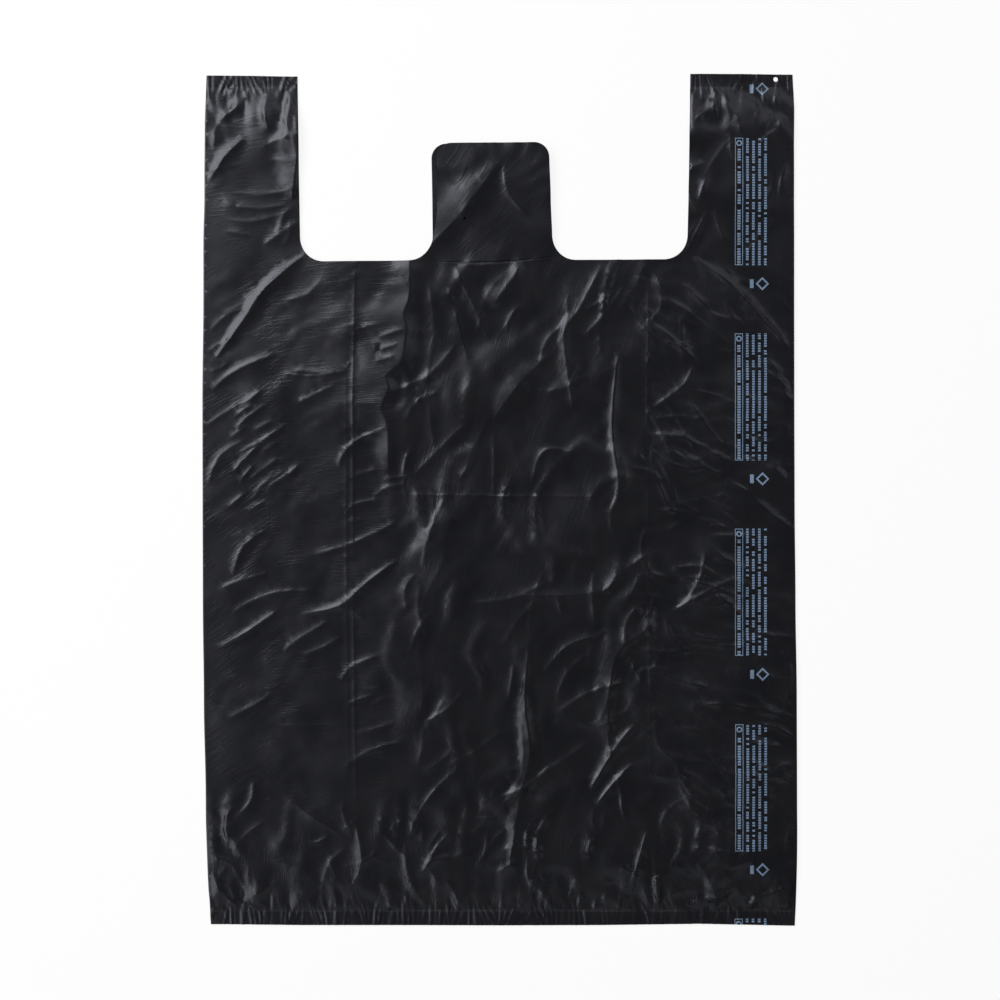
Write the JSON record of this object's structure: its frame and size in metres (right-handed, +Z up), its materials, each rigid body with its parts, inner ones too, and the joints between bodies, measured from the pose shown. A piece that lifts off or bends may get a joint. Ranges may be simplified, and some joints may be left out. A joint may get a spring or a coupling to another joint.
{
  "type": "plastic carrier bag",
  "caption": "Flat gusseted film carrier bag with loop handles, a hanging tab between them and heat-sealed ends.",
  "frame": {"origin": "under the middle of the flat bag, on the surface that it lies on", "axes": "+X across the bag to the right, +Y from the bottom seal towards the handles, +Z up through the front wall"},
  "size_m": [0.406, 0.584, 0.006],
  "materials": {
    "film": "thin black film with a satin sheen, lightly creased"
  },
  "bodies": {
    "root": {"carrier_bag": "film"}
  },
  "joints": []
}
